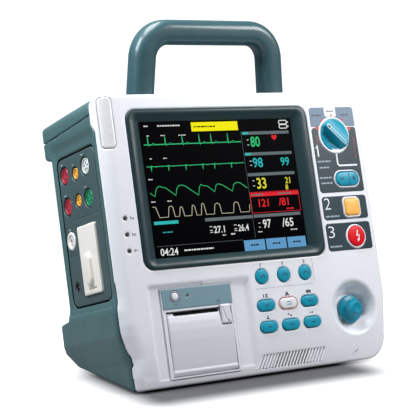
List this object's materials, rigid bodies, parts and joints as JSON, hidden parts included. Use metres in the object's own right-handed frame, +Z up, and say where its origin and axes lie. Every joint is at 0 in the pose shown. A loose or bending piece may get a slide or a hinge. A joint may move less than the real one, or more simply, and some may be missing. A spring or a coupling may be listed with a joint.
{
  "type": "monitor defibrillator",
  "caption": "Portable hospital monitor and defibrillator: leaning case with colour display, therapy controls, strip recorder, side sockets and a fixed carrying handle.",
  "frame": {"origin": "on the table, at the centre of the rectangle of the four feet", "axes": "+Z up, +X to the right seen from the front, -Y towards the user; the front plane leans back 15 degrees"},
  "size_m": [0.2997, 0.1839, 0.3355],
  "materials": {
    "white_moulding": "fine moulded texture",
    "teal_moulding": "fine moulded texture",
    "bezel_plastic": "satin",
    "display_glass": "polished, with the picture behind it",
    "label_film": "printed film",
    "lamp_lens": "frosted",
    "key_rubber": "satin",
    "key_white": "satin",
    "orange_key": "satin",
    "red_key": "satin",
    "dark_plastic": "fine moulded texture",
    "black_rubber": "matt",
    "paper": "thermal paper",
    "steel": "brushed",
    "circuit_board": "solder mask",
    "can": "satin",
    "socket_red": "satin",
    "socket_yellow": "satin",
    "socket_white": "satin",
    "socket_green": "satin",
    "cream_plastic": "satin"
  },
  "bodies": {
    "case": {"front_housing": "white_moulding", "rear_housing": "teal_moulding", "top_cover": "teal_moulding", "handle": "teal_moulding", "screen_bezel": "bezel_plastic", "display_window": "display_glass", "lcd_panel": "steel", "alarm_lamp": "lamp_lens", "control_label": "label_film", "mode_switch": "dark_plastic", "keypad_board": "circuit_board", "nav_encoder": "dark_plastic", "speaker": "dark_plastic", "recorder_frame": "white_moulding", "print_head": "steel", "status_lamps": "dark_plastic", "side_panel": "bezel_plastic", "pressure_sockets": "socket_red", "temperature_sockets": "socket_yellow", "oximeter_socket": "socket_white", "ecg_socket": "socket_green", "cuff_port": "cream_plastic", "gas_module": "cream_plastic", "therapy_port": "dark_plastic", "mains_inlet": "dark_plastic", "earth_pin": "steel", "main_board": "circuit_board", "power_board": "circuit_board", "hv_capacitor": "can", "hv_module": "dark_plastic", "nibp_pump": "steel", "chassis": "steel", "fan_frame": "dark_plastic", "feet": "black_rubber", "case_screws": "steel"},
    "mode_knob": {"mode_knob": "key_rubber"},
    "energy_rocker": {"energy_rocker": "key_rubber"},
    "charge_button": {"charge_button": "orange_key"},
    "shock_button": {"shock_button": "red_key"},
    "soft_key_1": {"soft_key_1": "key_rubber"},
    "soft_key_2": {"soft_key_2": "key_rubber"},
    "soft_key_3": {"soft_key_3": "key_rubber"},
    "hard_key_1": {"hard_key_1": "key_rubber"},
    "hard_key_2": {"hard_key_2": "key_white"},
    "hard_key_3": {"hard_key_3": "key_rubber"},
    "hard_key_4": {"hard_key_4": "key_rubber"},
    "hard_key_5": {"hard_key_5": "key_rubber"},
    "hard_key_6": {"hard_key_6": "key_rubber"},
    "nav_plunger": {"nav_plunger": "steel"},
    "nav_knob": {"nav_knob": "key_rubber"},
    "feed_button": {"feed_button": "white_moulding"},
    "recorder_door": {"recorder_door": "white_moulding"},
    "recorder_latch": {"recorder_latch": "white_moulding"},
    "paper_roll": {"paper_roll": "paper"},
    "platen_roller": {"platen_roller": "black_rubber"},
    "water_trap": {"water_trap": "cream_plastic"},
    "battery_1": {"battery_1": "dark_plastic"},
    "battery_2": {"battery_2": "dark_plastic"},
    "port_cover": {"port_cover": "teal_moulding"},
    "fan_rotor": {"fan_rotor": "dark_plastic"}
  },
  "joints": [
    {"name": "mode_turn", "type": "hinge", "parent": "case", "child": "mode_knob", "pos_m": [0.1146, -0.00293, 0.22168], "axis": [0, 0.9659, -0.2588], "range_deg": [-45, 135]},
    {"name": "energy_rock", "type": "hinge", "parent": "case", "child": "energy_rocker", "pos_m": [0.1225, -0.00924, 0.17688], "axis": [0, 0.2588, 0.9659], "range_deg": [-3.5, 3.5]},
    {"name": "charge_press", "type": "slide", "parent": "case", "child": "charge_button", "axis": [0, 0.9659, -0.2588], "range_m": [0, 0.0015]},
    {"name": "shock_press", "type": "slide", "parent": "case", "child": "shock_button", "axis": [0, 0.9659, -0.2588], "range_m": [0, 0.0015]},
    {"name": "soft_key_1_press", "type": "slide", "parent": "case", "child": "soft_key_1", "axis": [0, 0.9659, -0.2588], "range_m": [0, 0.001]},
    {"name": "soft_key_2_press", "type": "slide", "parent": "case", "child": "soft_key_2", "axis": [0, 0.9659, -0.2588], "range_m": [0, 0.001]},
    {"name": "soft_key_3_press", "type": "slide", "parent": "case", "child": "soft_key_3", "axis": [0, 0.9659, -0.2588], "range_m": [0, 0.001]},
    {"name": "hard_key_1_press", "type": "slide", "parent": "case", "child": "hard_key_1", "axis": [0, 0.9659, -0.2588], "range_m": [0, 0.001]},
    {"name": "hard_key_2_press", "type": "slide", "parent": "case", "child": "hard_key_2", "axis": [0, 0.9659, -0.2588], "range_m": [0, 0.001]},
    {"name": "hard_key_3_press", "type": "slide", "parent": "case", "child": "hard_key_3", "axis": [0, 0.9659, -0.2588], "range_m": [0, 0.001]},
    {"name": "hard_key_4_press", "type": "slide", "parent": "case", "child": "hard_key_4", "axis": [0, 0.9659, -0.2588], "range_m": [0, 0.001]},
    {"name": "hard_key_5_press", "type": "slide", "parent": "case", "child": "hard_key_5", "axis": [0, 0.9659, -0.2588], "range_m": [0, 0.001]},
    {"name": "hard_key_6_press", "type": "slide", "parent": "case", "child": "hard_key_6", "axis": [0, 0.9659, -0.2588], "range_m": [0, 0.001]},
    {"name": "nav_press", "type": "slide", "parent": "case", "child": "nav_plunger", "axis": [0, 0.9659, -0.2588], "range_m": [0, 0.0012]},
    {"name": "nav_turn", "type": "hinge", "parent": "nav_plunger", "child": "nav_knob", "pos_m": [0.1095, -0.04802, 0.05341], "axis": [0, 0.9659, -0.2588], "continuous": true},
    {"name": "feed_press", "type": "slide", "parent": "case", "child": "feed_button", "axis": [0, 0.9659, -0.2588], "range_m": [0, 0.0008]},
    {"name": "recorder_door_open", "type": "hinge", "parent": "case", "child": "recorder_door", "pos_m": [-0.067, -0.05341, 0.01396], "axis": [1, 0, 0], "range_deg": [0, 75]},
    {"name": "recorder_latch_pull", "type": "hinge", "parent": "recorder_door", "child": "recorder_latch", "pos_m": [-0.0395, -0.04583, 0.055], "axis": [1, 0, 0], "range_deg": [0, 20]},
    {"name": "paper_spin", "type": "hinge", "parent": "case", "child": "paper_roll", "pos_m": [-0.067, -0.01872, 0.04297], "axis": [1, 0, 0], "continuous": true},
    {"name": "platen_spin", "type": "hinge", "parent": "recorder_door", "child": "platen_roller", "pos_m": [-0.067, -0.0373, 0.06058], "axis": [1, 0, 0], "continuous": true},
    {"name": "water_trap_out", "type": "slide", "parent": "case", "child": "water_trap", "axis": [-1, 0, 0], "range_m": [0, 0.03]},
    {"name": "battery_1_out", "type": "slide", "parent": "case", "child": "battery_1", "axis": [0, 1, 0], "range_m": [0, 0.08]},
    {"name": "battery_2_out", "type": "slide", "parent": "case", "child": "battery_2", "axis": [0, 1, 0], "range_m": [0, 0.08]},
    {"name": "port_cover_open", "type": "hinge", "parent": "case", "child": "port_cover", "pos_m": [0.06, 0.09806, 0.18209], "axis": [1, 0, 0], "range_deg": [0, 100]},
    {"name": "fan_spin", "type": "hinge", "parent": "case", "child": "fan_rotor", "pos_m": [0.06, 0.06722, 0.10484], "axis": [0, 0.9659, -0.2588], "continuous": true}
  ]
}
